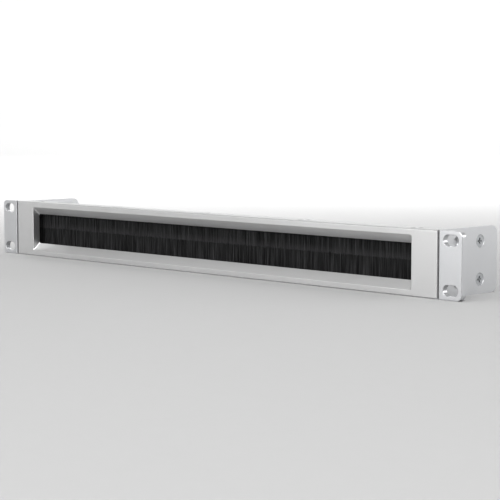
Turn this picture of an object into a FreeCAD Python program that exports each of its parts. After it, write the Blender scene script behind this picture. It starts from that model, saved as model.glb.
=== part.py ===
import FreeCAD, Part
import math
import os
import Sketcher

# Rack brush strip panel, one rack unit high, in millimetres.
# X runs along the panel, Y goes back into the rack and Z is up.
# The origin is the middle of the plane where the ears lie against the rack's rails.

Vector = FreeCAD.Vector

document = FreeCAD.newDocument("BrushStripPanel")
sheet = document.addObject("Spreadsheet::Sheet", "Sizes")


class Size:
    """A dimension: its present value and the expression that keeps it bound to the sheet."""

    def __init__(self, value, text):
        self.value = value
        self.text = text

    def combine(self, other, sign, result):
        return Size(result, "(%s %s %s)" % (self.text, sign, as_size(other).text))

    def __add__(self, other):
        return self.combine(other, "+", self.value + as_size(other).value)

    def __radd__(self, other):
        return as_size(other) + self

    def __sub__(self, other):
        return self.combine(other, "-", self.value - as_size(other).value)

    def __rsub__(self, other):
        return as_size(other) - self

    def __mul__(self, other):
        return self.combine(other, "*", self.value * as_size(other).value)

    def __rmul__(self, other):
        return as_size(other) * self

    def __truediv__(self, other):
        return self.combine(other, "/", self.value / as_size(other).value)

    def __neg__(self):
        return Size(-self.value, "(-1 * %s)" % self.text)


def as_size(amount):
    """A bare number becomes a fixed Size."""
    if isinstance(amount, Size):
        return amount
    return Size(float(amount), "(%s)" % repr(float(amount)))


def root(amount):
    return Size(math.sqrt(amount.value), "sqrt(%s)" % amount.text)


def size(alias, number):
    """Writes a driving dimension into the next row of the sheet and returns it."""
    row = size.rows + 1
    sheet.set("A%d" % row, alias)
    sheet.set("B%d" % row, str(number))
    sheet.setAlias("B%d" % row, alias)
    size.rows = row
    return Size(float(number), "Sizes." + alias)


size.rows = 0

# Whole panel
overall_width = size("overall_width", 482.6)
panel_height = size("panel_height", 44.0)
ear_width = size("ear_width", 18.2)
edge_gap = size("edge_gap", 1.2)
lap_clearance = size("lap_clearance", 0.3)

# Front panel
sheet_wall = size("sheet_wall", 1.5)
flange_depth = size("flange_depth", 12.0)
flange_end_gap = size("flange_end_gap", 0.3)
window_side_border = size("window_side_border", 21.4)
window_border = size("window_border", 4.15)
reveal_depth = size("reveal_depth", 5.8)
reveal_splay = size("reveal_splay", 5.85)
side_splay = size("side_splay", 0.8)
face_edge_radius = size("face_edge_radius", 0.9)
window_edge_radius = size("window_edge_radius", 0.5)
window_corner_radius = size("window_corner_radius", 1.2)

# Ears
ear_thickness = size("ear_thickness", 4.0)
ear_corner_radius = size("ear_corner_radius", 3.6)
ear_edge_radius = size("ear_edge_radius", 0.5)
slot_edge_radius = size("slot_edge_radius", 0.3)
ear_root_radius = size("ear_root_radius", 1.0)
plate_wall = size("plate_wall", 2.5)
plate_depth = size("plate_depth", 62.5)
plate_corner_radius = size("plate_corner_radius", 5.5)
slot_length = size("slot_length", 12.0)
slot_height = size("slot_height", 7.2)
slot_side_inset = size("slot_side_inset", 8.75)
slot_end_inset = size("slot_end_inset", 6.125)
spare_hole_setback = size("spare_hole_setback", 20.5)

# Screws
thread_diameter = size("thread_diameter", 4.0)
thread_clearance = size("thread_clearance", 0.05)
clearance_hole_diameter = size("clearance_hole_diameter", 4.5)
screw_head_diameter = size("screw_head_diameter", 8.0)
countersink_diameter = size("countersink_diameter", 8.8)
screw_recess_width = size("screw_recess_width", 4.4)
screw_recess_slot = size("screw_recess_slot", 1.2)
screw_recess_depth = size("screw_recess_depth", 1.8)
screw_recess_foot_width = size("screw_recess_foot_width", 1.8)
screw_recess_foot_slot = size("screw_recess_foot_slot", 0.6)
ear_screw_length = size("ear_screw_length", 8.0)
ear_screw_from_rear = size("ear_screw_from_rear", 18.3)
ear_screw_end_inset = size("ear_screw_end_inset", 9.5)
rail_screw_length = size("rail_screw_length", 6.0)
rail_screw_setback = size("rail_screw_setback", 6.5)
rail_screw_end_inset = size("rail_screw_end_inset", 12.0)
rail_screw_count = 5
screw_seat_gap = size("screw_seat_gap", 0.05)

# Side arms and their fixings
arm_wall = size("arm_wall", 2.0)
arm_rear_margin = size("arm_rear_margin", 6.5)
arm_end_gap = size("arm_end_gap", 0.5)
arm_foot_gap = size("arm_foot_gap", 1.6)
arm_bend_radius = size("arm_bend_radius", 2.5)
arm_corner_radius = size("arm_corner_radius", 4.0)
stud_length = size("stud_length", 6.5)
stud_inset = size("stud_inset", 11.4)
stud_spacing = size("stud_spacing", 14.0)
stud_nut_flats = size("stud_nut_flats", 7.0)
stud_nut_thickness = size("stud_nut_thickness", 3.2)
press_nut_diameter = size("press_nut_diameter", 8.0)
press_nut_height = size("press_nut_height", 4.0)
press_nut_collar = size("press_nut_collar", 5.4)
press_nut_collar_length = size("press_nut_collar_length", 1.4)

# Brush rails, brush spines and bristles
rail_overlap = size("rail_overlap", 11.5)
rail_setback = size("rail_setback", 4.0)
rail_slope_clearance = size("rail_slope_clearance", 0.4)
rail_rise = size("rail_rise", 1.2)
rail_rear_wall = size("rail_rear_wall", 1.2)
groove_setback = size("groove_setback", 9.4)
groove_width = size("groove_width", 3.8)
groove_depth = size("groove_depth", 5.0)
groove_lip = size("groove_lip", 0.4)
groove_lip_thickness = size("groove_lip_thickness", 0.8)
spine_clearance = size("spine_clearance", 0.1)
spine_wall = size("spine_wall", 0.5)
brush_end_inset = size("brush_end_inset", 4.0)
bristle_clearance = size("bristle_clearance", 0.1)
bristle_ridge_depth = size("bristle_ridge_depth", 0.35)
bristle_ridge_pitch = size("bristle_ridge_pitch", 4.0)
meeting_height = size("meeting_height", 0.6)
meeting_gap = size("meeting_gap", 0.3)

document.recompute()

# Places that several pieces share
front = -1 * ear_thickness
half_height = panel_height / 2
half_width = overall_width / 2
ear_inner = half_width - ear_width
panel_half = ear_inner - edge_gap
plate_inner = panel_half - plate_wall
back_of_face = front + sheet_wall
plate_rear = front + plate_depth
ear_screw_y = plate_rear - ear_screw_from_rear
spare_hole_y = front + spare_hole_setback
reveal_rear = front + reveal_depth
window_half = panel_half - window_side_border
window_half_height = half_height - window_border
throat_half_height = window_half_height - reveal_splay
splay = reveal_splay / reveal_depth
splay_wall = sheet_wall * root(1 + splay * splay)
slot_x = half_width - slot_side_inset
slot_up = half_height - slot_end_inset
ear_screw_up = half_height - ear_screw_end_inset
flange_inside = half_height - sheet_wall
rail_half = window_half + rail_overlap
rail_screw_y = front + rail_screw_setback
rail_screw_reach = rail_half - rail_screw_end_inset
rail_screw_pitch = rail_screw_reach * 2 / (rail_screw_count - 1)
groove_front = front + groove_setback
groove_rear = groove_front + groove_width
groove_middle = groove_front + groove_width / 2
lip_end = throat_half_height + rail_rise
groove_end = lip_end + groove_depth
brush_half = rail_half - brush_end_inset
arm_inner = plate_inner - arm_wall
arm_rear = plate_rear - arm_rear_margin
foot_inner = window_half + sheet_wall + arm_foot_gap
arm_half_height = flange_inside - arm_end_gap
stud_x = panel_half - stud_inset
thread_radius = thread_diameter / 2
shank_radius = thread_radius - thread_clearance
cone_hole_radius = clearance_hole_diameter / 2
countersink_depth = (countersink_diameter - clearance_hole_diameter) / 2
head_sink = (countersink_diameter - screw_head_diameter) / 2 - screw_seat_gap


def bind(thing, property_name, amount):
    thing.setExpression(property_name, as_size(amount).text)


def origin_part(body, role):
    """The body's own origin plane or axis with this role."""
    return [part for part in body.Origin.OriginFeatures if part.Role == role][0]


def new_body(label):
    body = document.addObject("PartDesign::Body", label)
    body.Label = label
    return body


def new_sketch(body, name, plane, shift=(0, 0, 0)):
    """An empty sketch on one of the body's origin planes, shifted in the sketch's own axes."""
    sketch = body.newObject("Sketcher::SketchObject", body.Name + "_" + name)
    sketch.AttachmentSupport = [(origin_part(body, plane), "")]
    sketch.MapMode = "FlatFace"
    for axis, amount in zip("xyz", shift):
        if isinstance(amount, Size):
            bind(sketch, "AttachmentOffset.Base." + axis, amount)
    return sketch


def fix_point(sketch, curve, point, place):
    """Holds one point of a curve at its two distances from the sketch's origin."""
    for kind, amount in zip(("DistanceX", "DistanceY"), place):
        amount = as_size(amount)
        number = sketch.addConstraint(Sketcher.Constraint(kind, -1, 1, curve, point, amount.value))
        sketch.setExpression("Constraints[%d]" % number, amount.text)


def flat(place):
    return Vector(as_size(place[0]).value, as_size(place[1]).value, 0)


def draw_polygon(sketch, corners):
    """A closed outline of straight lines, each corner held by its own two dimensions."""
    first = sketch.GeometryCount
    count = len(corners)
    for index in range(count):
        line = Part.LineSegment(flat(corners[index]), flat(corners[(index + 1) % count]))
        sketch.addGeometry(line, False)
    for index in range(count):
        following = first + (index + 1) % count
        sketch.addConstraint(Sketcher.Constraint("Coincident", first + index, 2, following, 1))
        fix_point(sketch, first + index, 1, corners[index])


def draw_rectangle(sketch, left, right, low, high):
    draw_polygon(sketch, ((left, low), (right, low), (right, high), (left, high)))


def draw_circle(sketch, centre, radius):
    curve = sketch.addGeometry(Part.Circle(flat(centre), Vector(0, 0, 1), radius.value), False)
    number = sketch.addConstraint(Sketcher.Constraint("Radius", curve, radius.value))
    sketch.setExpression("Constraints[%d]" % number, radius.text)
    fix_point(sketch, curve, 3, centre)


def draw_slot(sketch, centre, length, height):
    """A level slot with round ends."""
    radius = height / 2
    reach = length / 2 - radius
    left = (centre[0] - reach, centre[1])
    right = (centre[0] + reach, centre[1])
    up = Vector(0, radius.value, 0)
    quarter = math.pi / 2
    ends = (
        Part.ArcOfCircle(Part.Circle(flat(left), Vector(0, 0, 1), radius.value), quarter, 3 * quarter),
        Part.ArcOfCircle(Part.Circle(flat(right), Vector(0, 0, 1), radius.value), -quarter, quarter),
    )
    left_end = sketch.addGeometry(ends[0], False)
    right_end = sketch.addGeometry(ends[1], False)
    lower = sketch.addGeometry(Part.LineSegment(flat(left) - up, flat(right) - up), False)
    upper = sketch.addGeometry(Part.LineSegment(flat(right) + up, flat(left) + up), False)
    around = (left_end, lower, right_end, upper)
    for index in range(len(around)):
        sketch.addConstraint(Sketcher.Constraint("Tangent", around[index - 1], 2, around[index], 1))
    number = sketch.addConstraint(Sketcher.Constraint("Radius", left_end, radius.value))
    sketch.setExpression("Constraints[%d]" % number, radius.text)
    fix_point(sketch, left_end, 3, left)
    number = sketch.addConstraint(Sketcher.Constraint("DistanceX", -1, 1, right_end, 3, right[0].value))
    sketch.setExpression("Constraints[%d]" % number, right[0].text)


def finish(body, feature):
    body.Tip = feature
    document.recompute()
    return feature


def pad(body, sketch, length, backwards=False):
    feature = body.newObject("PartDesign::Pad", sketch.Name + "_pad")
    feature.Profile = sketch
    feature.Reversed = backwards
    bind(feature, "Length", length)
    return finish(body, feature)


def pocket(body, sketch, depth, backwards=False):
    feature = body.newObject("PartDesign::Pocket", sketch.Name + "_pocket")
    feature.Profile = sketch
    feature.Reversed = backwards
    bind(feature, "Length", depth)
    return finish(body, feature)


def turn(body, sketch, kind, axis="V_Axis"):
    """Revolves the sketch about one of its own axes, as PartDesign::Revolution or Groove."""
    feature = body.newObject(kind, sketch.Name + "_turned")
    feature.Profile = sketch
    feature.ReferenceAxis = (sketch, [axis])
    feature.Angle = 360
    return finish(body, feature)


def loft(body, kind, sections):
    feature = body.newObject(kind, sections[0].Name + "_loft")
    feature.Profile = sections[0]
    feature.Sections = [sections[1]]
    feature.Ruled = True
    return finish(body, feature)


def round_edges(body, name, radius, wanted):
    """Rounds the tip's edges that the wanted test picks by their two ends."""
    base = body.Tip
    names = []
    for number, edge in enumerate(base.Shape.Edges, start=1):
        ends = [vertex.Point for vertex in edge.Vertexes]
        if len(ends) == 2 and wanted(ends[0], ends[1]):
            names.append("Edge%d" % number)
    feature = body.newObject("PartDesign::Fillet", body.Name + "_" + name)
    feature.Base = (base, names)
    bind(feature, "Radius", radius)
    return finish(body, feature)


def near(number, amount, margin=0.01):
    return abs(number - amount.value) < margin


def level(axis, start, end, place):
    """True where both ends of an edge lie at this place on one axis."""
    return near(getattr(start, axis), place) and near(getattr(end, axis), place)


def countersink_profile(face, through, inward):
    """Half outline of a countersunk hole: distances from its axis against places along it."""
    neck = face + inward * countersink_depth
    bottom = neck + inward * through
    return (
        (as_size(0), face),
        (countersink_diameter / 2, face),
        (cone_hole_radius, neck),
        (cone_hole_radius, bottom),
        (as_size(0), bottom),
    )


def row_of_cuts(body, feature):
    """Repeats a cut along X at the rail screws' pitch."""
    pattern = body.newObject("PartDesign::LinearPattern", feature.Name + "_row")
    pattern.Originals = [feature]
    pattern.Direction = (origin_part(body, "X_Axis"), [""])
    bind(pattern, "Length", rail_screw_reach * 2)
    pattern.Occurrences = rail_screw_count
    return finish(body, pattern)


def make_front_panel():
    """Front sheet with its splayed window, top and bottom flanges and welded studs."""
    body = new_body("front_panel")

    face = new_sketch(body, "face", "XZ_Plane", (0, 0, -front))
    draw_rectangle(face, -panel_half, panel_half, -half_height, half_height)
    pad(body, face, sheet_wall, backwards=True)

    flanges = new_sketch(body, "flanges", "XZ_Plane", (0, 0, -front))
    reach = plate_inner - flange_end_gap
    draw_rectangle(flanges, -reach, reach, flange_inside, half_height)
    draw_rectangle(flanges, -reach, reach, -half_height, -flange_inside)
    pad(body, flanges, flange_depth, backwards=True)

    outer = []
    inner = []
    mouth = (window_half, window_half_height)
    throat = (window_half - side_splay, throat_half_height)
    for name, place, (across, up) in (("mouth", front, mouth), ("throat", reveal_rear, throat)):
        section = new_sketch(body, name + "_outside", "XZ_Plane", (0, 0, -place))
        wide = across + sheet_wall
        high = up + splay_wall
        draw_rectangle(section, -wide, wide, -high, high)
        outer.append(section)
        section = new_sketch(body, name + "_inside", "XZ_Plane", (0, 0, -place))
        draw_rectangle(section, -across, across, -up, up)
        inner.append(section)
    loft(body, "PartDesign::AdditiveLoft", outer)
    loft(body, "PartDesign::SubtractiveLoft", inner)

    studs = new_sketch(body, "studs", "XZ_Plane", (0, 0, -back_of_face))
    for across in (-stud_x, stud_x):
        for up in (-stud_spacing / 2, stud_spacing / 2):
            draw_circle(studs, (across, up), shank_radius)
    pad(body, studs, stud_length, backwards=True)

    holes = new_sketch(body, "rail_screw_holes", "YZ_Plane", (rail_screw_y, 0, -rail_screw_reach))
    for direction in (1, -1):
        draw_polygon(holes, countersink_profile(direction * half_height, sheet_wall, -direction))
    row_of_cuts(body, turn(body, holes, "PartDesign::Groove"))

    def mitre(start, end):
        fore, rear = sorted((start, end), key=lambda point: point.y)
        at_corner = near(abs(fore.x), mouth[0]) and near(abs(fore.z), mouth[1])
        return at_corner and near(fore.y, front) and near(rear.y, reveal_rear)

    def window_rim(start, end):
        inside = max(abs(start.x), abs(end.x)) < mouth[0].value + 0.01
        return level("y", start, end, front) and inside

    def outer_rim(start, end):
        outside = max(abs(start.x), abs(end.x)) > panel_half.value - 0.01
        return level("y", start, end, front) and outside

    round_edges(body, "window_corners", window_corner_radius, mitre)
    round_edges(body, "window_rim", window_edge_radius, window_rim)
    round_edges(body, "face_rim", face_edge_radius, outer_rim)
    return body


def make_ear(label, side):
    """Rack ear with its side plate; side is 1 at +X and -1 at -X."""
    body = new_body(label)

    flange = new_sketch(body, "flange", "XZ_Plane", (0, 0, -front))
    draw_rectangle(flange, *ordered(side, plate_inner, half_width), -half_height, half_height)
    for up in (-slot_up, slot_up):
        draw_slot(flange, (side * slot_x, up), slot_length, slot_height)
    pad(body, flange, ear_thickness, backwards=True)

    rebate = new_sketch(body, "rebate", "XZ_Plane", (0, 0, -front))
    draw_rectangle(rebate, *ordered(side, plate_inner, ear_inner), -half_height, half_height)
    pocket(body, rebate, sheet_wall + lap_clearance)

    plate = new_sketch(body, "plate", "YZ_Plane", (0, 0, side * plate_inner))
    draw_rectangle(plate, back_of_face + lap_clearance, plate_rear, -half_height, half_height)
    pad(body, plate, plate_wall, backwards=side < 0)

    heights = (-ear_screw_up, ear_screw_up)
    holes = [(along, up) for along in (ear_screw_y, spare_hole_y) for up in heights]
    for number, (along, up) in enumerate(holes):
        hole = new_sketch(body, "plate_hole_%d" % number, "XY_Plane", (0, along, up))
        profile = countersink_profile(side * panel_half, plate_wall, -side)
        draw_polygon(hole, [(across, away) for away, across in profile])
        turn(body, hole, "PartDesign::Groove", "H_Axis")

    def ear_corner(start, end):
        return level("x", start, end, side * half_width) and near(abs(start.z), half_height) \
            and near(abs(end.z), half_height) and near(start.z, as_size(end.z))

    def plate_corner(start, end):
        return level("y", start, end, plate_rear) and near(abs(start.z), half_height) \
            and near(start.z, as_size(end.z))

    def ear_root(start, end):
        return level("y", start, end, as_size(0)) and level("x", start, end, side * panel_half)

    def on_outline(point):
        across = abs(point.x)
        return near(across, ear_inner) or near(across, half_width) or near(abs(point.z), half_height)

    def ear_rim(start, end):
        return level("y", start, end, front) and on_outline(start) and on_outline(end)

    def slot_rim(start, end):
        return level("y", start, end, front) and not on_outline(start) and not on_outline(end)

    round_edges(body, "ear_corners", ear_corner_radius, ear_corner)
    round_edges(body, "plate_corners", plate_corner_radius, plate_corner)
    round_edges(body, "root", ear_root_radius, ear_root)
    round_edges(body, "rim", ear_edge_radius, ear_rim)
    round_edges(body, "slot_rims", slot_edge_radius, slot_rim)
    return body


def ordered(side, near_middle, far_out):
    """Left and right limits of a stretch that is given from the middle outwards."""
    if side > 0:
        return near_middle, far_out
    return -far_out, -near_middle


def make_rail(label, direction):
    """Extruded brush rail under the top flange (direction 1) or over the bottom one (-1)."""
    body = new_body(label)
    slope_top = window_half_height + splay_wall + rail_slope_clearance
    slope_foot = front + (slope_top - lip_end) / splay
    corners = (
        (front + rail_setback, flange_inside),
        (groove_rear + rail_rear_wall, flange_inside),
        (groove_rear + rail_rear_wall, lip_end),
        (groove_rear - groove_lip, lip_end),
        (groove_rear - groove_lip, lip_end + groove_lip_thickness),
        (groove_rear, lip_end + groove_lip_thickness),
        (groove_rear, groove_end),
        (groove_front, groove_end),
        (groove_front, lip_end + groove_lip_thickness),
        (groove_front + groove_lip, lip_end + groove_lip_thickness),
        (groove_front + groove_lip, lip_end),
        (slope_foot, lip_end),
        (front + rail_setback, slope_top - rail_setback * splay),
    )
    profile = new_sketch(body, "profile", "YZ_Plane", (0, 0, -rail_half))
    draw_polygon(profile, [(along, direction * up) for along, up in corners])
    pad(body, profile, rail_half * 2)

    countersink = countersink_diameter / 2 - sheet_wall
    bottom = flange_inside - rail_screw_length
    holes = new_sketch(body, "screw_holes", "YZ_Plane", (rail_screw_y, 0, -rail_screw_reach))
    draw_polygon(holes, (
        (as_size(0), direction * flange_inside),
        (countersink, direction * flange_inside),
        (thread_radius, direction * (flange_inside - (countersink - thread_radius))),
        (thread_radius, direction * bottom),
        (as_size(0), direction * bottom),
    ))
    row_of_cuts(body, turn(body, holes, "PartDesign::Groove"))
    return body


def make_spine(label, direction):
    """Folded steel spine that grips the bristles' roots, inside the rail's groove."""
    body = new_body(label)
    low = lip_end + groove_lip_thickness + spine_clearance
    high = groove_end - spine_clearance
    half = groove_width / 2 - spine_clearance
    corners = (
        (groove_middle - half, low),
        (groove_middle - half, high),
        (groove_middle + half, high),
        (groove_middle + half, low),
        (groove_middle + half - spine_wall, low),
        (groove_middle + half - spine_wall, high - spine_wall),
        (groove_middle - half + spine_wall, high - spine_wall),
        (groove_middle - half + spine_wall, low),
    )
    profile = new_sketch(body, "profile", "YZ_Plane", (0, 0, -brush_half))
    draw_polygon(profile, [(along, direction * up) for along, up in corners])
    pad(body, profile, brush_half * 2)

    def shoulder(start, end):
        return level("z", start, end, direction * high) and near(start.y, as_size(end.y))

    round_edges(body, "shoulders", spine_wall, shoulder)
    return body


def make_bristles(label, direction):
    """One row of bristles as a ridged slab, from inside its spine to the meeting line."""
    root_height = groove_end.value - spine_clearance.value - spine_wall.value - bristle_clearance.value
    tip_height = direction * meeting_height.value + meeting_gap.value / 2
    half = groove_width.value / 2 - spine_clearance.value - spine_wall.value - bristle_clearance.value
    valley = half - bristle_ridge_depth.value
    count = int(round(2 * brush_half.value / bristle_ridge_pitch.value))
    pitch = 2 * brush_half.value / count
    middle = groove_middle.value
    front_side = []
    rear_side = []
    for index in range(count):
        start = -brush_half.value + index * pitch
        front_side.append(Vector(start, middle - valley, direction * root_height))
        front_side.append(Vector(start + pitch / 2, middle - half, direction * root_height))
        rear_side.append(Vector(start, middle + valley, direction * root_height))
        rear_side.append(Vector(start + pitch / 2, middle + half, direction * root_height))
    front_side.append(Vector(brush_half.value, middle - valley, direction * root_height))
    rear_side.append(Vector(brush_half.value, middle + valley, direction * root_height))
    outline = Part.makePolygon(front_side + rear_side[::-1] + front_side[:1])
    slab = Part.Face(outline).extrude(Vector(0, 0, direction * (tip_height - root_height)))
    piece = document.addObject("Part::Feature", label)
    piece.Shape = slab
    return piece


def make_side_arm(label, side):
    """Folded arm behind the front sheet: a foot on two studs and a leg along the ear's plate."""
    body = new_body(label)
    corners = (
        (foot_inner, back_of_face),
        (plate_inner, back_of_face),
        (plate_inner, arm_rear),
        (arm_inner, arm_rear),
        (arm_inner, back_of_face + arm_wall),
        (foot_inner, back_of_face + arm_wall),
    )
    profile = new_sketch(body, "profile", "XY_Plane", (0, 0, -arm_half_height))
    draw_polygon(profile, [(side * across, along) for across, along in corners])
    pad(body, profile, arm_half_height * 2)

    leg_holes = new_sketch(body, "leg_holes", "YZ_Plane", (0, 0, side * plate_inner))
    for up in (-ear_screw_up, ear_screw_up):
        draw_circle(leg_holes, (ear_screw_y, up), press_nut_collar / 2)
    pocket(body, leg_holes, arm_wall, backwards=side < 0)

    foot_holes = new_sketch(body, "foot_holes", "XZ_Plane", (0, 0, -back_of_face))
    for up in (-1, 1):
        draw_circle(foot_holes, (side * stud_x, up * stud_spacing / 2), cone_hole_radius)
    pocket(body, foot_holes, arm_wall)

    def bend(start, end):
        return level("x", start, end, side * plate_inner) and level("y", start, end, back_of_face)

    def inner_bend(start, end):
        return level("x", start, end, side * arm_inner) and level("y", start, end, back_of_face + arm_wall)

    def leg_corner(start, end):
        return level("y", start, end, arm_rear) and near(start.z, as_size(end.z)) \
            and near(abs(start.z), arm_half_height)

    round_edges(body, "bend", arm_bend_radius, bend)
    round_edges(body, "inner_bend", arm_bend_radius - arm_wall, inner_bend)
    round_edges(body, "leg_corners", arm_corner_radius, leg_corner)
    return body


def make_screw(label, length, place, rotation):
    """Countersunk cross-recess screw, head face at its own origin and shank along -Z."""
    body = new_body(label)
    cone = screw_head_diameter / 2 - shank_radius
    profile = new_sketch(body, "profile", "XZ_Plane")
    draw_polygon(profile, (
        (as_size(0), as_size(0)),
        (screw_head_diameter / 2, as_size(0)),
        (shank_radius, -cone),
        (shank_radius, -length),
        (as_size(0), -length),
    ))
    turn(body, profile, "PartDesign::Revolution")

    sections = []
    for name, height, width, slot in (
        ("recess_mouth", as_size(0), screw_recess_width, screw_recess_slot),
        ("recess_foot", -screw_recess_depth, screw_recess_foot_width, screw_recess_foot_slot),
    ):
        section = new_sketch(body, name, "XY_Plane", (0, 0, height))
        arm = width / 2
        slim = slot / 2
        draw_polygon(section, (
            (arm, -slim), (arm, slim), (slim, slim), (slim, arm), (-slim, arm), (-slim, slim),
            (-arm, slim), (-arm, -slim), (-slim, -slim), (-slim, -arm), (slim, -arm), (slim, -slim),
        ))
        sections.append(section)
    loft(body, "PartDesign::SubtractiveLoft", sections)
    set_place(body, place, rotation)
    return body


def set_place(body, place, rotation):
    """Puts a finished piece at a bound place with a fixed turn."""
    body.Placement = FreeCAD.Placement(Vector(0, 0, 0), rotation)
    for axis, amount in zip("xyz", place):
        bind(body, "Placement.Base." + axis, amount)
    document.recompute()


def make_press_nut(label, place, rotation):
    """Clinched nut: its collar sits in the arm along +Z and its body hangs below."""
    body = new_body(label)
    collar = press_nut_collar / 2 - thread_clearance
    profile = new_sketch(body, "profile", "XZ_Plane")
    draw_polygon(profile, (
        (thread_radius, -press_nut_height),
        (press_nut_diameter / 2, -press_nut_height),
        (press_nut_diameter / 2, as_size(0)),
        (collar, as_size(0)),
        (collar, press_nut_collar_length),
        (thread_radius, press_nut_collar_length),
    ))
    turn(body, profile, "PartDesign::Revolution")
    set_place(body, place, rotation)
    return body


def make_stud_nut(label, place):
    """Hexagon nut on a stud, flat against the arm's foot and thick along +Y."""
    body = new_body(label)
    outline = new_sketch(body, "outline", "XZ_Plane")
    corner = stud_nut_flats / math.sqrt(3)
    turns = [math.radians(60 * step) for step in range(6)]
    draw_polygon(outline, [(corner * math.cos(angle), corner * math.sin(angle)) for angle in turns])
    draw_circle(outline, (as_size(0), as_size(0)), thread_radius)
    pad(body, outline, stud_nut_thickness, backwards=True)
    set_place(body, place, FreeCAD.Rotation())
    return body


def make_fixings(side_name, side):
    """Ear screws, press nuts and stud nuts of one side."""
    outward = FreeCAD.Rotation(Vector(0, 0, 1), Vector(side, 0, 0))
    made = []
    for level_name, up in (("upper", 1), ("lower", -1)):
        name = side_name + "_" + level_name
        height = up * ear_screw_up
        head_place = (side * (panel_half - head_sink), ear_screw_y, height)
        made.append(make_screw(name + "_ear_screw", ear_screw_length, head_place, outward))
        made.append(make_press_nut(name + "_press_nut", (side * arm_inner, ear_screw_y, height), outward))
        stud_place = (side * stud_x, back_of_face + arm_wall, up * stud_spacing / 2)
        made.append(make_stud_nut(name + "_stud_nut", stud_place))
    return made


def make_rail_screws(level_name, direction):
    """The row of countersunk screws through one flange."""
    rotation = FreeCAD.Rotation(Vector(1, 0, 0), 0 if direction > 0 else 180)
    made = []
    for index in range(rail_screw_count):
        across = index * rail_screw_pitch - rail_screw_reach
        place = (across, rail_screw_y, direction * (half_height - head_sink))
        label = "%s_rail_screw_%d" % (level_name, index + 1)
        made.append(make_screw(label, rail_screw_length, place, rotation))
    return made


pieces = [make_front_panel()]
for side_name, side in (("left", -1), ("right", 1)):
    pieces.append(make_ear(side_name + "_rack_ear", side))
    pieces.append(make_side_arm(side_name + "_side_arm", side))
    pieces.extend(make_fixings(side_name, side))
for level_name, direction in (("upper", 1), ("lower", -1)):
    pieces.append(make_rail(level_name + "_brush_rail", direction))
    pieces.append(make_spine(level_name + "_brush_spine", direction))
    pieces.append(make_bristles(level_name + "_bristles", direction))
    pieces.extend(make_rail_screws(level_name, direction))

document.recompute()
for thing in document.Objects:
    for word in ("Invalid", "Error"):
        if word in thing.State:
            raise RuntimeError("%s is %s" % (thing.Label, word))
for piece in pieces:
    if piece.Shape.isNull() or not piece.Shape.isValid() or len(piece.Shape.Solids) != 1:
        raise RuntimeError("%s has no single valid solid" % piece.Label)

os.makedirs("parts", exist_ok=True)
for piece in pieces:
    piece.Shape.exportStep(os.path.join("parts", piece.Label + ".step"))
    box = piece.Shape.BoundBox
    print("%-24s volume %9.1f  X %.2f %.2f  Y %.2f %.2f  Z %.2f %.2f" % (
        piece.Label, piece.Shape.Volume, box.XMin, box.XMax, box.YMin, box.YMax, box.ZMin, box.ZMax))
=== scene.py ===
import math

import bpy
from bpy.props import FloatProperty, FloatVectorProperty, IntProperty, PointerProperty
from mathutils import Matrix, Vector


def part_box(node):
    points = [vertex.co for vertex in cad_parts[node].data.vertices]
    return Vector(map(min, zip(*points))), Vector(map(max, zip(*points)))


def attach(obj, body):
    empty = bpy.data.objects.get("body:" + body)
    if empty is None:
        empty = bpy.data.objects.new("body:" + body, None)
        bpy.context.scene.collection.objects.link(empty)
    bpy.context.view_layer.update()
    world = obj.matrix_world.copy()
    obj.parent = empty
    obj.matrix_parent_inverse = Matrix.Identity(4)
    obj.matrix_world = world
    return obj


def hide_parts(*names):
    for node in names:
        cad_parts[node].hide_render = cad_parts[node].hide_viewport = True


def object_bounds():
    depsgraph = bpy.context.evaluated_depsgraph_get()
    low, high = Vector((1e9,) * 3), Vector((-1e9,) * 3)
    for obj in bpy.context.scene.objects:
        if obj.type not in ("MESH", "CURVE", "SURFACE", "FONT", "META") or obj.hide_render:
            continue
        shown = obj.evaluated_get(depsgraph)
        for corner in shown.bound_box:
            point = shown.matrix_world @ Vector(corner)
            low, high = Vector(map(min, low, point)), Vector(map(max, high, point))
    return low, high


bl_info = {
    "name": "Rack Brush Strip Panel",
    "version": (1, 0, 0),
    "blender": (4, 5, 0),
    "location": "3D View > Sidebar > Brush Panel",
    "description": "Paint, hardware, bristles and studio for a rack brush strip panel",
    "category": "Object",
}

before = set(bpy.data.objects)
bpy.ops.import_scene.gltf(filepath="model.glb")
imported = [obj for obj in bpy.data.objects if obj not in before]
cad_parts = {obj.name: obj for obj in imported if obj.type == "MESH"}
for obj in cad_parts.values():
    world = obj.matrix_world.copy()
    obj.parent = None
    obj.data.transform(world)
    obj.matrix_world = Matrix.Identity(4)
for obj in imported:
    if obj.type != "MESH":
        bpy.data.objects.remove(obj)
CAD_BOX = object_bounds()

SIDES = ("left", "right")
LEVELS = ("upper", "lower")
RAIL_SCREWS = range(1, 6)
X, Y, Z = 0, 1, 2
MM = 0.001

# The photograph is 500 pixels wide, and its lens was measured in those pixels.
PHOTO_WIDTH = 500
LENS_IN_PIXELS = 1561.57
SENSOR_WIDTH = 36.0

# Some pieces are a little lighter or darker than the colour that they share with others. The lower row
# of bristles is darker as painted shade, for the shadow that the upper row casts on it.
ARM_SHADE = 0.93
LOWER_ROW_PAINTED_SHADE = 0.88
NUT_SHADE = 1.15
SPINE_SHADE = 0.9

# Each stud's thread starts just behind its nut and ends just before the stud's own end.
THREAD_SETBACK = 0.2 * MM
THREAD_REACH = 0.95 * MM
THREAD_CREST_RADIUS = 1.93 * MM

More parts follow.
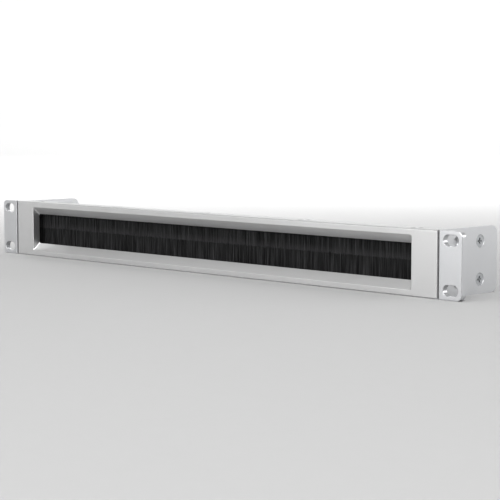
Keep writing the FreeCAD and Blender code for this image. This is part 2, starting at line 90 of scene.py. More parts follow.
# Each softbox: its place, its width and height, and what it points at.
SOFTBOXES = {
    "front": ((-0.45, -2.2, 0.5), (1.4, 0.9), (0.0, 0.0, 0.0)),
    "left": ((-1.6, -1.6, 0.5), (1.6, 0.9), (0.0, 0.0, 0.0)),
    "right": ((1.7, -1.3, 1.2), (1.6, 1.6), (0.0, 0.0, 0.0)),
    "back": ((1.7, 1.6, 0.45), (1.4, 0.8), (0.0, 0.0, 0.0)),
    "top": ((0.6, -0.7, 2.1), (1.4, 1.4), (0.0, 0.0, 0.0)),
    "backdrop": ((-0.9, 1.1, 1.9), (1.6, 1.6), (-2.6, 2.7, 0.2)),
}


def middle(node):
    """The middle of a CAD node's box."""
    low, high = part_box(node)
    return (Vector(low) + Vector(high)) / 2


def span(node, axis):
    """How far a CAD node reaches along one axis."""
    low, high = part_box(node)
    return high[axis] - low[axis]


class Wire:
    """A socket that can be used in sums: each operator adds one Math node."""

    def __init__(self, desk, socket):
        self.desk = desk
        self.socket = socket

    def __add__(self, other):
        return self.desk.math("ADD", self, other)

    def __radd__(self, other):
        return self.desk.math("ADD", other, self)

    def __sub__(self, other):
        return self.desk.math("SUBTRACT", self, other)

    def __rsub__(self, other):
        return self.desk.math("SUBTRACT", other, self)

    def __mul__(self, other):
        return self.desk.math("MULTIPLY", self, other)

    def __rmul__(self, other):
        return self.desk.math("MULTIPLY", other, self)

    def __truediv__(self, other):
        return self.desk.math("DIVIDE", self, other)

    def __rtruediv__(self, other):
        return self.desk.math("DIVIDE", other, self)

    def __pow__(self, other):
        return self.desk.math("POWER", self, other)

    def __rpow__(self, other):
        return self.desk.math("POWER", other, self)

    def __abs__(self):
        return self.desk.math("ABSOLUTE", self)


class Desk:
    """A node tree at work. node makes any node, and the rest are short names for common ones."""

    # These sockets share their names with others on the node, so they go by number.
    MIX_COLOURS_IN, MIX_COLOUR_OUT = (6, 7), 2
    RANDOM_VECTOR_IN, RANDOM_VECTOR_OUT = (0, 1), 0
    RANDOM_NUMBER_IN, RANDOM_NUMBER_OUT = (2, 3), 1

    def __init__(self, tree):
        self.tree = tree

    def feed(self, socket, value):
        """Joins a wire to a socket, or sets the socket to a plain value."""
        if isinstance(value, Wire):
            self.tree.links.new(value.socket, socket)
        else:
            socket.default_value = value

    def node(self, kind, settings=None, feeds=None):
        """A node of that kind: its settings first, then what feeds its sockets."""
        node = self.tree.nodes.new(kind)
        for name, value in (settings or {}).items():
            if name == "stops":
                self.fill_ramp(node.color_ramp, value)
            else:
                setattr(node, name, value)
        for key, value in (feeds or {}).items():
            self.feed(node.inputs[key], value)
        return node

    def add(self, kind, settings=None, feeds=None, output=0):
        """A node of that kind, as a wire from one of its outputs."""
        return Wire(self, self.node(kind, settings, feeds).outputs[output])

    @staticmethod
    def fill_ramp(ramp, stops):
        """Sets a ramp from pairs of a place and a grey."""
        while len(ramp.elements) < len(stops):
            ramp.elements.new(0.5)
        for element, (place, grey) in zip(ramp.elements, stops):
            element.position = place
            element.color = (grey, grey, grey, 1.0)

    def math(self, operation, first, second=None):
        """One Math node."""
        feeds = {0: first}
        if second is not None:
            feeds[1] = second
        return self.add("ShaderNodeMath", {"operation": operation}, feeds)

    def vector(self, operation, first, second):
        """One Vector Math node that works on two vectors."""
        return self.add("ShaderNodeVectorMath", {"operation": operation}, {0: first, 1: second})

    def lengthen(self, vector, factor):
        """A vector made longer or shorter."""
        return self.add("ShaderNodeVectorMath", {"operation": "SCALE"}, {0: vector, "Scale": factor})

    def join(self, x, y, z):
        """A vector from three numbers."""
        return self.add("ShaderNodeCombineXYZ", {}, {X: x, Y: y, Z: z})

    def split(self, vector, axis):
        """One number of a vector."""
        return self.add("ShaderNodeSeparateXYZ", {}, {0: vector}, axis)

    def ramp(self, factor, stops):
        """A grey for each value, from pairs of a place and a grey."""
        return self.add("ShaderNodeValToRGB", {"stops": stops}, {"Fac": factor})

    def blend(self, factor, first, second):
        """A colour between two others."""
        settings = {"data_type": "RGBA", "clamp_factor": True}
        first_in, second_in = self.MIX_COLOURS_IN
        feeds = {0: factor, first_in: first, second_in: second}
        return self.add("ShaderNodeMix", settings, feeds, self.MIX_COLOUR_OUT)

    def noise(self, place, scale, detail=2.0, roughness=0.5, output="Fac"):
        """Soft noise, as a number or as a colour."""
        feeds = {"Vector": place, "Scale": scale, "Detail": detail, "Roughness": roughness}
        return self.add("ShaderNodeTexNoise", {}, feeds, output)

    def random_vector(self, low, high, seed):
        """A random vector at each point."""
        low_in, high_in = self.RANDOM_VECTOR_IN
        feeds = {low_in: low, high_in: high, "Seed": seed}
        settings = {"data_type": "FLOAT_VECTOR"}
        return self.add("FunctionNodeRandomValue", settings, feeds, self.RANDOM_VECTOR_OUT)

    def random_number(self, low, high, seed):
        """A random number at each point."""
        low_in, high_in = self.RANDOM_NUMBER_IN
        feeds = {low_in: low, high_in: high, "Seed": seed}
        return self.add("FunctionNodeRandomValue", {"data_type": "FLOAT"}, feeds, self.RANDOM_NUMBER_OUT)

    def bump(self, shader, height, strength, distance):
        """Ripples the shader's surface."""
        feeds = {"Strength": strength, "Distance": distance, "Height": height}
        self.feed(shader.inputs["Normal"], self.add("ShaderNodeBump", {}, feeds))


def new_material(name):
    """An empty node material: its desk and its shader, which is joined to the output."""
    material = bpy.data.materials.new(name)
    material.use_nodes = True
    material.node_tree.nodes.clear()
    desk = Desk(material.node_tree)
    shader = desk.node("ShaderNodeBsdfPrincipled")
    desk.node("ShaderNodeOutputMaterial", {}, {"Surface": Wire(desk, shader.outputs[0])})
    return material, desk, shader


def object_place(desk, stretch=None):
    """Object coordinates, stretched along each axis where a stretch is given."""
    place = desk.add("ShaderNodeTexCoord", output="Object")
    return desk.vector("MULTIPLY", place, stretch) if stretch else place


def shade(colour, factor):
    """The colour made lighter or darker, as a four number colour."""
    return tuple(min(1.0, part * factor) for part in colour[:3]) + (1.0,)


def powder_coat(name, colour, finish):
    """Satin metallic powder coat: orange peel, fine grain, faint clouds and streaks."""
    material, desk, shader = new_material(name)
    dull, bright = shade(colour, 0.965), shade(colour, 1.02)
    pitted, streaked = shade(colour, 0.93), shade(colour, 1.03)
    place = object_place(desk)
    clouds = desk.noise(place, scale=14.0, detail=3.0, roughness=0.55)
    grain = desk.noise(place, scale=2600.0, detail=2.0, roughness=0.6)
    peel = desk.noise(place, scale=1.0 / finish.peel_size, detail=1.5, roughness=0.45)
    lengthways = object_place(desk, stretch=(9.0, 60.0, 260.0))
    streaks = desk.noise(lengthways, scale=1.0, detail=4.0, roughness=0.6)

    base = desk.blend(desk.ramp(clouds, ((0.30, 0.0), (0.70, 1.0))), dull, bright)
    base = desk.blend(desk.ramp(grain, ((0.25, 0.0), (0.42, 1.0))), pitted, base)
    base = desk.blend(streaks * 0.5, base, streaked)
    desk.feed(shader.inputs["Base Color"], base)
    desk.feed(shader.inputs["Roughness"], finish.paint_roughness + (clouds - 0.5) * 0.06)
    desk.bump(shader, peel * 0.8 + grain * 0.2, strength=0.35, distance=finish.peel_height)
    shader.inputs["Metallic"].default_value = finish.paint_sheen
    shader.inputs["Specular IOR Level"].default_value = 0.45
    return material


def plated_steel(name, colour, roughness):
    """Zinc plated steel: uneven grey with a soft grain and small stains."""
    material, desk, shader = new_material(name)
    dull, bright, stained = shade(colour, 0.78), shade(colour, 1.15), shade(colour, 0.55)
    place = object_place(desk)
    patches = desk.noise(place, scale=420.0, detail=3.0, roughness=0.6)
    grain = desk.noise(place, scale=5200.0, detail=2.0, roughness=0.6)
    spots = desk.noise(place, scale=900.0, detail=4.0, roughness=0.7)
    stain = desk.ramp(spots, ((0.60, 0.0), (0.75, 1.0)))

    base = desk.blend(patches, dull, bright)
    base = desk.blend(stain * 0.5, base, stained)
    desk.feed(shader.inputs["Base Color"], base)
    desk.feed(shader.inputs["Roughness"], roughness + (patches - 0.5) * 0.22 + stain * 0.12)
    desk.bump(shader, grain * 0.5 + patches * 0.5, strength=0.4, distance=0.02 * MM)
    shader.inputs["Metallic"].default_value = 1.0
    return material


def extruded_aluminium(name, colour):
    """Mill finish extrusion: die lines that run the whole length, with faint clouds."""
    material, desk, shader = new_material(name)
    dull, bright = shade(colour, 0.82), shade(colour, 1.12)
    lengthways = object_place(desk, stretch=(6.0, 2200.0, 2200.0))
    lines = desk.noise(lengthways, scale=1.0, detail=3.0, roughness=0.6)
    clouds = desk.noise(object_place(desk), scale=60.0, detail=3.0, roughness=0.5)

    desk.feed(shader.inputs["Base Color"], desk.blend(lines * 0.7 + clouds * 0.3, dull, bright))
    desk.feed(shader.inputs["Roughness"], 0.34 + (lines - 0.5) * 0.20 + (clouds - 0.5) * 0.10)
    desk.bump(shader, lines, strength=0.5, distance=0.02 * MM)
    shader.inputs["Metallic"].default_value = 1.0
    return material


def black_nylon(name, colour, tips, paleness):
    """Black nylon bristle: strands and bunches lighter or darker, with painted light that makes it paler
    at the tips' height.
    """
    material, desk, shader = new_material(name)
    pale_reach = 5.0 * MM
    place = object_place(desk)
    strand_place = object_place(desk, stretch=(2600.0, 2600.0, 22.0))
    bunch_place = object_place(desk, stretch=(760.0, 300.0, 26.0))
    tuft_place = object_place(desk, stretch=(140.0, 140.0, 30.0))
    strands = desk.noise(strand_place, scale=1.0, detail=2.0, roughness=0.6)
    bunches = desk.noise(bunch_place, scale=1.0, detail=2.0, roughness=0.65)
    tufts = desk.noise(tuft_place, scale=1.0, detail=3.0, roughness=0.6)
    light_bunch = desk.ramp(bunches, ((0.46, 0.0), (0.66, 1.0)))
    dark_bunch = desk.ramp(bunches, ((0.30, 1.0), (0.46, 0.0)))
    # Painted light: near the tips' height the colour turns paler, where the upper row's tips catch the
    # light.
    from_tips = abs(desk.split(place, Z) - tips) / pale_reach
    painted_tip_light = desk.ramp(from_tips, ((0.0, 1.0), (1.0, 0.0)))

    base = desk.blend(strands, shade(colour, 0.6), shade(colour, 1.6))
    base = desk.blend(light_bunch * 0.75, base, shade(colour, 3.2))
    base = desk.blend(dark_bunch * 0.7, base, shade(colour, 0.3))
    base = desk.blend(tufts * 0.4, base, shade(colour, 0.6))
    # Painted light: paler towards the tips.
    base = desk.blend(painted_tip_light * paleness, base, shade(colour, 2.4))
    desk.feed(shader.inputs["Base Color"], base)
    desk.feed(shader.inputs["Roughness"], 0.50 + (strands - 0.5) * 0.30)
    shader.inputs["Specular IOR Level"].default_value = 0.15
    return material


def studio_paper(name, colour):
    """Pale matt paper for the floor."""
    material, desk, shader = new_material(name)
    fibre = desk.noise(object_place(desk), scale=120.0, detail=3.0, roughness=0.6)
    desk.feed(shader.inputs["Base Color"], desk.blend(fibre, shade(colour, 0.985), shade(colour, 1.0)))
    shader.inputs["Roughness"].default_value = 0.95
    shader.inputs["Specular IOR Level"].default_value = 0.1
    return material


def dress(node, material):
    """Gives a CAD node its material."""
    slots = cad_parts[node].material_slots
    if not slots:
        raise RuntimeError(node + " has no material slot")
    for slot in slots:
        slot.material = material


def new_tree(name, inputs):
    """An empty Geometry Nodes tree with named inputs, and the wires from its inputs."""
    tree = bpy.data.node_groups.new(name, "GeometryNodeTree")
    tree.interface.new_socket("Geometry", in_out="INPUT", socket_type="NodeSocketGeometry")
    for label, kind in inputs:
        tree.interface.new_socket(label, in_out="INPUT", socket_type="NodeSocket" + kind)
    tree.interface.new_socket("Geometry", in_out="OUTPUT", socket_type="NodeSocketGeometry")
    desk = Desk(tree)
    start = desk.node("NodeGroupInput")
    wires = {socket.name: Wire(desk, socket) for socket in start.outputs if socket.name}
    return tree, desk, wires


def end_tree(desk, geometry, material):
    """Closes a tree with real geometry and its material."""
    real = desk.add("GeometryNodeRealizeInstances", {}, {0: geometry})
    painted = desk.add("GeometryNodeSetMaterial", {}, {"Geometry": real, "Material": material})
    desk.node("NodeGroupOutput", {}, {0: painted})


def bake_tree(name, tree, values, seed_mesh):
    """Runs a tree on a new object and leaves it a plain mesh with no modifier."""
    piece = bpy.data.objects.new(name, seed_mesh)
    bpy.context.scene.collection.objects.link(piece)
    modifier = piece.modifiers.new("build", "NODES")
    modifier.node_group = tree
    for item in tree.interface.items_tree:
        if item.in_out == "INPUT" and item.name in values:
            modifier[item.identifier] = values[item.name]
    bpy.context.view_layer.update()
    evaluated = piece.evaluated_get(bpy.context.evaluated_depsgraph_get())
    baked = bpy.data.meshes.new_from_object(evaluated)
    piece.modifiers.clear()
    piece.data = baked
    baked.name = name
    return piece


def bristle_tree():
    """A row of fine tapered strands on a grid, clumped into tufts, with a dark core between them."""
    root_wander = 0.45  # how far a root strays, as a share of the strands' spacing
    tip_share = 0.55  # a strand's radius at its tip, as a share of that at its root
    stray = (0.006, 0.012, 1.0)  # a strand's own lean in radians, and its free turn
    bunch_low, bunch_gain = 0.3, 2.5  # stretch the noise so that it fills nought to one
    bunch_weight, single_weight = 0.75, 0.25  # bunches and single strands in the uneven ends
    tuft_swing = (1.0, 0.45, 0.0)  # tufts swing less through the thickness, and never up
    core_share = 0.45  # the core's thickness, as a share of the row's
    bunch_seed_step, tuft_seed_step = 3.7, 7.3  # move each seed to its own part of the noise

    tree, desk, given = new_tree("bristle_row", (
        ("Length", "Float"), ("Depth", "Float"), ("Reach", "Float"), ("Columns", "Int"),
        ("Rows", "Int"), ("Strand Radius", "Float"), ("Lean", "Float"), ("Tuft Size", "Float"),
        ("Unevenness", "Float"), ("Bunch Size", "Float"), ("Core Reach", "Float"),
        ("Seed", "Int"), ("Turn", "Vector"), ("Root", "Vector"), ("Material", "Material"),
    ))
    seed = given["Seed"]

    grid = desk.add("GeometryNodeMeshGrid", {}, {
        "Size X": given["Length"], "Size Y": given["Depth"],
        "Vertices X": given["Columns"], "Vertices Y": given["Rows"]})
    spread = desk.random_vector((-1.0, -1.0, 0.0), (1.0, 1.0, 0.0), seed)
    spacing = given["Length"] / given["Columns"]
    wander = desk.lengthen(spread, spacing * root_wander)
    roots = desk.add("GeometryNodeSetPosition", {}, {"Geometry": grid, "Offset": wander})

    strand = desk.add("GeometryNodeMeshCone", {"fill_type": "NGON"}, {
        "Vertices": 4, "Side Segments": 4, "Radius Top": given["Strand Radius"] * tip_share,
        "Radius Bottom": given["Strand Radius"], "Depth": 1.0})
    root_place = desk.add("GeometryNodeInputPosition")
    bunch_place = desk.join(
        desk.split(root_place, X) / given["Bunch Size"],
        desk.split(root_place, Y) / given["Bunch Size"],
        seed * bunch_seed_step)
    bunched = (desk.noise(bunch_place, scale=1.0, detail=1.0) - bunch_low) * bunch_gain
    single = desk.random_number(0.0, 1.0, seed + 1)
    mixed = bunched * bunch_weight + single * single_weight
    shortfall = desk.add("ShaderNodeClamp", {}, {0: mixed})
    tall = given["Reach"] - given["Unevenness"] * shortfall
    tilt = desk.random_vector((-1.0, -1.0, -3.14), (1.0, 1.0, 3.14), seed + 2)
    strands = desk.add("GeometryNodeInstanceOnPoints", {}, {
        "Points": roots, "Instance": strand,
        "Rotation": desk.vector("MULTIPLY", tilt, stray), "Scale": desk.join(1.0, 1.0, tall)})
    brush = desk.add("GeometryNodeRealizeInstances", {}, {0: strands})

    place = desk.add("GeometryNodeInputPosition")
    rise = desk.split(place, Z) / given["Reach"]
    tuft_place = desk.join(
        desk.split(place, X) / given["Tuft Size"],
        desk.split(place, Y) / given["Tuft Size"],
        seed * tuft_seed_step)
    drift = desk.noise(tuft_place, scale=1.0, output="Color")
    centred = desk.vector("SUBTRACT", drift, (0.5, 0.5, 0.5))
    level_drift = desk.vector("MULTIPLY", centred, tuft_swing)
    sway = desk.lengthen(level_drift, given["Lean"] * (rise ** 2.0))
    bent = desk.add("GeometryNodeSetPosition", {}, {"Geometry": brush, "Offset": sway})

    core_size = desk.join(given["Length"], given["Depth"] * core_share, given["Core Reach"])
    core = desk.add("GeometryNodeMeshCube", {}, {"Size": core_size})
    half_core = desk.join(0.0, 0.0, given["Core Reach"] * 0.5)
    stood = desk.add("GeometryNodeTransform", {}, {"Geometry": core, "Translation": half_core})
    joined = desk.node("GeometryNodeJoinGeometry")
    for part in (bent, stood):
        desk.feed(joined.inputs[0], part)
    placed = desk.add("GeometryNodeTransform", {}, {
        "Geometry": Wire(desk, joined.outputs[0]),
        "Translation": given["Root"], "Rotation": given["Turn"]})
    end_tree(desk, placed, given["Material"])
    return tree


def thread_tree():
    """A helical thread on every point of the seed mesh, its axis along Y."""
    ridge_share = 0.30  # the ridge's radius, as a share of the pitch
    tree, desk, given = new_tree("stud_thread", (
        ("Crest Radius", "Float"), ("Pitch", "Float"), ("Reach", "Float"), ("Material", "Material")))
    turns = given["Reach"] / given["Pitch"]
    helix = desk.add("GeometryNodeCurveSpiral", {}, {
        "Resolution": 20, "Rotations": turns, "Start Radius": given["Crest Radius"],
        "End Radius": given["Crest Radius"], "Height": given["Reach"]})
    ridge = desk.add("GeometryNodeCurvePrimitiveCircle", {"mode": "RADIUS"}, {
        "Resolution": 4, "Radius": given["Pitch"] * ridge_share})
    wound = desk.add("GeometryNodeCurveToMesh", {}, {
        "Curve": helix, "Profile Curve": ridge, "Fill Caps": True})
    laid = desk.add("GeometryNodeTransform", {}, {
        "Geometry": wound, "Rotation": (-math.pi / 2, 0.0, 0.0)})
    copies = desk.add("GeometryNodeInstanceOnPoints", {}, {
        "Points": given["Geometry"], "Instance": laid})
    end_tree(desk, copies, given["Material"])
    return tree


class BRUSHPANEL_PG_brush(bpy.types.PropertyGroup):
    """Sizes and colour of the bristles."""

    columns: IntProperty(name="Columns", description="Strands along one row", default=820, min=10)
    rows: IntProperty(
        name="Rows", description="Strands through the thickness", default=4, min=1)
    strand_radius: FloatProperty(
        name="Strand radius", description="Radius of one bristle at its root",
        default=0.20 * MM, unit="LENGTH", precision=6)
    lean: FloatProperty(
        name="Lean", description="How far tufts lean at their tips",
        default=2.2 * MM, unit="LENGTH", precision=6)
    tuft_size: FloatProperty(
        name="Tuft size", description="Width of the tufts that lean together",
        default=5.0 * MM, unit="LENGTH", precision=6)
    unevenness: FloatProperty(
        name="Unevenness", description="How much shorter the shortest bristles are",
        default=1.5 * MM, unit="LENGTH", precision=6)
    bunch_size: FloatProperty(
        name="Bunch size", description="Width of the bunches that end at one height",
        default=1.6 * MM, unit="LENGTH", precision=6)
    overlap: FloatProperty(
        name="Overlap", description="How far the longest bristles pass the line where the rows meet",
        default=1.2 * MM, unit="LENGTH", precision=6)
    core_overlap: FloatProperty(
        name="Core overlap", description="How far the dark core passes the line where the rows meet",
        default=0.3 * MM, unit="LENGTH", precision=6)
    forward: FloatProperty(
        name="Forward", description="How far the upper row stands in front of the lower one",
        default=0.3 * MM, unit="LENGTH", precision=6)
    seed: IntProperty(name="Seed", description="Start of the random numbers", default=3)
    colour: FloatVectorProperty(
        name="Colour", description="Colour of the nylon", subtype="COLOR",
        default=(0.052, 0.052, 0.053))
    # Strength of the painted light that makes the upper row paler towards its tips.
    tip_paleness: FloatProperty(
        name="Tip paleness", description="How much paler the upper row gets towards its tips",
        default=0.45, min=0.0, max=1.0)


class BRUSHPANEL_PG_finish(bpy.types.PropertyGroup):
    """Paint and metal finishes."""

    panel_colour: FloatVectorProperty(
        name="Panel paint", description="Colour of the front panel's powder coat",
        subtype="COLOR", default=(0.636, 0.636, 0.636))
    ear_colour: FloatVectorProperty(
        name="Ear paint", description="Colour of the rack ears' powder coat",
        subtype="COLOR", default=(0.63, 0.635, 0.645))
    paint_roughness: FloatProperty(
        name="Paint roughness", description="Dullness of the powder coat",
        default=0.32, min=0.0, max=1.0)
    paint_sheen: FloatProperty(
        name="Paint sheen", description="How metallic the powder coat is",
        default=0.86, min=0.0, max=1.0)
    peel_size: FloatProperty(
        name="Peel size", description="Size of the orange peel ripples",
        default=1.3 * MM, unit="LENGTH", precision=6)
    peel_height: FloatProperty(
        name="Peel height", description="Height of the orange peel ripples",
        default=0.02 * MM, unit="LENGTH", precision=6)
    zinc_colour: FloatVectorProperty(
        name="Zinc", description="Colour of plated steel", subtype="COLOR",
        default=(0.50, 0.51, 0.52))
    aluminium_colour: FloatVectorProperty(
        name="Aluminium", description="Colour of the brush rails", subtype="COLOR",
        default=(0.72, 0.73, 0.75))
    thread_pitch: FloatProperty(
        name="Thread pitch", description="Pitch of the studs' thread",
        default=0.7 * MM, unit="LENGTH", precision=6)


class BRUSHPANEL_PG_studio(bpy.types.PropertyGroup):
    """Floor, lights and camera."""

    floor_colour: FloatVectorProperty(
        name="Floor", description="Colour of the paper", subtype="COLOR",
        default=(0.54, 0.54, 0.54))
    front_power: FloatProperty(
        name="Front light", description="Power of the low front softbox", default=16.0)
    left_power: FloatProperty(
        name="Left light", description="Power of the low left softbox", default=2.9)
    right_power: FloatProperty(
        name="Right light", description="Power of the right softbox", default=13.0)
    back_power: FloatProperty(
        name="Back light", description="Power of the low softbox behind", default=6.9)
    top_power: FloatProperty(
        name="Top light", description="Power of the softbox overhead", default=9.0)
    backdrop_power: FloatProperty(
        name="Backdrop light", description="Power of the softbox that whitens the paper behind",
        default=66.0)
    sky_strength: FloatProperty(
        name="Sky", description="Strength of the even light all round", default=0.58)
    azimuth: FloatProperty(
        name="Azimuth", description="Camera's turn to the right of the front",
        default=math.radians(45.4304), subtype="ANGLE")
    pitch: FloatProperty(
        name="Pitch", description="Camera's look downwards",
        default=math.radians(5.1162), subtype="ANGLE")
    camera_place: FloatVectorProperty(
        name="Camera place", description="Where the camera stands", subtype="TRANSLATION",
        default=(0.837487, -0.776253, 0.09718))


class BRUSHPANEL_OT_paint(bpy.types.Operator):
    """Coats the front panel, the rack ears and the side arms."""

    bl_idname = "brushpanel.paint"
    bl_label = "Paint sheet metal"

    def execute(self, context):
        finish = context.scene.brushpanel_finish
        ear_colour = tuple(finish.ear_colour)
        dress("front_panel", powder_coat("panel_paint", tuple(finish.panel_colour), finish))
        ear_coat = powder_coat("ear_paint", ear_colour, finish)
        arm_coat = powder_coat("arm_paint", shade(ear_colour, ARM_SHADE), finish)
        for side in SIDES:
            dress(side + "_rack_ear", ear_coat)
            dress(side + "_side_arm", arm_coat)
        return {"FINISHED"}


class BRUSHPANEL_OT_hardware(bpy.types.Operator):
    """Finishes the screws, nuts, brush spines and brush rails."""

    bl_idname = "brushpanel.hardware"
    bl_label = "Finish hardware"

    def execute(self, context):
        finish = context.scene.brushpanel_finish
        zinc = tuple(finish.zinc_colour)
        screw = plated_steel("screw_zinc", zinc, roughness=0.38)
        nut = plated_steel("nut_zinc", shade(zinc, NUT_SHADE), roughness=0.44)
        spine = plated_steel("spine_steel", shade(zinc, SPINE_SHADE), roughness=0.48)
        rail = extruded_aluminium("rail_aluminium", tuple(finish.aluminium_colour))
        for side in SIDES:
            for level in LEVELS:
                dress(f"{side}_{level}_ear_screw", screw)
                dress(f"{side}_{level}_press_nut", nut)
                dress(f"{side}_{level}_stud_nut", nut)
        for level in LEVELS:
            dress(level + "_brush_rail", rail)
            dress(level + "_brush_spine", spine)
            for number in RAIL_SCREWS:
                dress(f"{level}_rail_screw_{number}", screw)
        return {"FINISHED"}


class BRUSHPANEL_OT_bristles(bpy.types.Operator):
    """Grows both rows of bristles in place of the plain slabs."""

    bl_idname = "brushpanel.bristles"
    bl_label = "Grow bristles"

    def execute(self, context):
        brush = context.scene.brushpanel_brush
        meeting = (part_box("upper_bristles")[0][Z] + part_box("lower_bristles")[1][Z]) / 2
        colour = tuple(brush.colour)
        # The lower row takes a darker copy of the nylon: painted shade for the upper row's shadow. The
        # upper row takes painted light at its tips.
        painted_shade_colour = shade(colour, LOWER_ROW_PAINTED_SHADE)
        nylon = {
            "upper": black_nylon("bristle_black", colour, meeting, brush.tip_paleness),
            "lower": black_nylon("bristle_black_lower", painted_shade_colour, meeting, 0.0),
        }
        tree = bristle_tree()
        for number, level in enumerate(LEVELS):
            node = level + "_bristles"
            low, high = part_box(node)
            centre = middle(node)
            hangs = level == "upper"
            shift = -brush.forward / 2 if hangs else brush.forward / 2
            piece = bake_tree(level + "_bristle_row", tree, {
                "Length": span(node, X) - 2 * brush.strand_radius,
                "Depth": span(node, Y) - 4 * brush.strand_radius,
                "Reach": span(node, Z) + brush.overlap,
                "Core Reach": span(node, Z) + brush.core_overlap,
                "Bunch Size": brush.bunch_size,
                "Columns": brush.columns,
                "Rows": brush.rows,
                "Strand Radius": brush.strand_radius,
                "Lean": brush.lean,
                "Tuft Size": brush.tuft_size,
                "Unevenness": brush.unevenness,
                "Seed": brush.seed + number,
                "Turn": (math.pi if hangs else 0.0, 0.0, 0.0),
                "Root": (centre.x, centre.y + shift, high[Z] if hangs else low[Z]),
                "Material": nylon[level],
            }, bpy.data.meshes.new("bristle_seed"))
            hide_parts(node)
            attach(piece, "root")
        return {"FINISHED"}


class BRUSHPANEL_OT_threads(bpy.types.Operator):
    """Cuts the thread on the studs' free ends."""

    bl_idname = "brushpanel.threads"
    bl_label = "Cut stud threads"

    def execute(self, context):
        finish = context.scene.brushpanel_finish
        points = []
        for side in SIDES:
            for level in LEVELS:
                nut = f"{side}_{level}_stud_nut"
                centre = middle(nut)
                nut_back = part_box(nut)[1][Y]
                points.append((centre.x, nut_back + THREAD_SETBACK, centre.z))
        seed_mesh = bpy.data.meshes.new("stud_points")
        seed_mesh.from_pydata(points, [], [])
        piece = bake_tree("stud_threads", thread_tree(), {
            "Crest Radius": THREAD_CREST_RADIUS,
            "Pitch": finish.thread_pitch,
            "Reach": THREAD_REACH,
            "Material": bpy.data.materials["nut_zinc"],
        }, seed_mesh)
        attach(piece, "root")
        return {"FINISHED"}


class BRUSHPANEL_OT_studio(bpy.types.Operator):
    """Sets up the paper bowl, the softboxes and the camera."""

    bl_idname = "brushpanel.studio"
    bl_label = "Set up studio"

    def execute(self, context):
        studio = context.scene.brushpanel_studio
        make_floor(studio)
        make_lights(studio)
        make_camera(studio)
        context.scene.view_settings.view_transform = "Standard"
        context.scene.view_settings.look = "High Contrast"
        return {"FINISHED"}


def make_floor(studio):
    """A round floor whose rim curves up all round, under the part's lowest point."""
    floor_radius, cove_radius, wall_height = 3.0, 1.0, 2.0
    ring_points, cove_steps = 96, 12
    ground = CAD_BOX[0][Z]
    profile = [(floor_radius, ground)]
    for step in range(1, cove_steps + 1):
        angle = math.pi / 2 * step / cove_steps
        profile.append((
            floor_radius + cove_radius * math.sin(angle),
            ground + cove_radius * (1 - math.cos(angle))))
    profile.append((floor_radius + cove_radius, ground + cove_radius + wall_height))

    verts = [(0.0, 0.0, ground)]
    for radius, height in profile:
        for step in range(ring_points):
            angle = 2 * math.pi * step / ring_points
            verts.append((radius * math.cos(angle), radius * math.sin(angle), height))
    faces = []
    for step in range(ring_points):
        following = (step + 1) % ring_points
        faces.append((0, 1 + step, 1 + following))
        for ring in range(len(profile) - 1):
            inner = 1 + ring * ring_points
            outer = inner + ring_points
            faces.append((inner + step, outer + step, outer + following, inner + following))

    mesh = bpy.data.meshes.new("studio_floor")
    mesh.from_pydata(verts, [], faces)
    mesh.polygons.foreach_set("use_smooth", [True] * len(mesh.polygons))
    mesh.materials.append(studio_paper("studio_paper", tuple(studio.floor_colour)))
    floor = bpy.data.objects.new("studio_floor", mesh)
    bpy.context.scene.collection.objects.link(floor)


def softbox(name, place, size, power, target):
    """A rectangular area light that points at a target."""
    lamp = bpy.data.lights.new(name, "AREA")
    lamp.shape = "RECTANGLE"
    lamp.size, lamp.size_y = size
    lamp.energy = power
    light = bpy.data.objects.new(name, lamp)
    aim = (Vector(target) - Vector(place)).to_track_quat("-Z", "Y")
    light.matrix_world = Matrix.Translation(place) @ aim.to_matrix().to_4x4()
    bpy.context.scene.collection.objects.link(light)


def make_lights(studio):
    """The softboxes and the even light all round."""
    for label, (place, size, target) in SOFTBOXES.items():
        softbox(label + "_softbox", place, size, getattr(studio, label + "_power"), target)
    world = bpy.data.worlds.new("studio_sky")
    world.use_nodes = True
    sky = world.node_tree.nodes["Background"]
    sky.inputs["Color"].default_value = (1.0, 1.0, 1.0, 1.0)
    sky.inputs["Strength"].default_value = studio.sky_strength
    bpy.context.scene.world = world


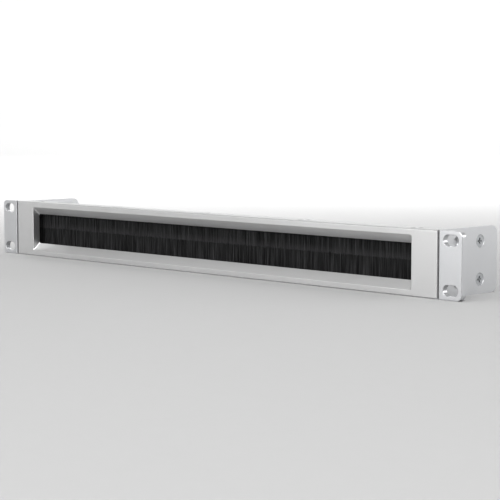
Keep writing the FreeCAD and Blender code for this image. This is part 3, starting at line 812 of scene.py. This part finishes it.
def make_camera(studio):
    """The camera at the photograph's place, level and looking slightly down."""
    lens = bpy.data.cameras.new("photo_camera")
    lens.sensor_width = SENSOR_WIDTH
    lens.lens = LENS_IN_PIXELS / PHOTO_WIDTH * SENSOR_WIDTH
    camera = bpy.data.objects.new("photo_camera", lens)
    turn = Matrix.Rotation(studio.azimuth, 4, "Z")
    tilt = Matrix.Rotation(math.pi / 2 - studio.pitch, 4, "X")
    camera.matrix_world = Matrix.Translation(Vector(studio.camera_place)) @ turn @ tilt
    bpy.context.scene.collection.objects.link(camera)
    bpy.context.scene.camera = camera


class BRUSHPANEL_PT_sidebar(bpy.types.Panel):
    """Lists the steps that dress the panel."""

    bl_idname = "BRUSHPANEL_PT_sidebar"
    bl_label = "Brush Panel"
    bl_space_type = "VIEW_3D"
    bl_region_type = "UI"
    bl_category = "Brush Panel"

    def draw(self, context):
        for step in STEPS:
            self.layout.operator(step.bl_idname)


GROUPS = {
    "brushpanel_brush": BRUSHPANEL_PG_brush,
    "brushpanel_finish": BRUSHPANEL_PG_finish,
    "brushpanel_studio": BRUSHPANEL_PG_studio,
}
STEPS = (
    BRUSHPANEL_OT_paint,
    BRUSHPANEL_OT_hardware,
    BRUSHPANEL_OT_bristles,
    BRUSHPANEL_OT_threads,
    BRUSHPANEL_OT_studio,
)


def register():
    """Makes the property groups, the steps and the sidebar known to Blender."""
    for group_name, group in GROUPS.items():
        bpy.utils.register_class(group)
        setattr(bpy.types.Scene, group_name, PointerProperty(type=group))
    for step in STEPS:
        bpy.utils.register_class(step)
    bpy.utils.register_class(BRUSHPANEL_PT_sidebar)


def unregister():
    """Takes all of it back, in the reverse order."""
    bpy.utils.unregister_class(BRUSHPANEL_PT_sidebar)
    for step in reversed(STEPS):
        bpy.utils.unregister_class(step)
    for group_name, group in reversed(GROUPS.items()):
        delattr(bpy.types.Scene, group_name)
        bpy.utils.unregister_class(group)


def main():
    """Runs every step."""
    register()
    for step in STEPS:
        area, verb = step.bl_idname.split(".")
        getattr(getattr(bpy.ops, area), verb)()


if __name__ == "__main__":
    main()
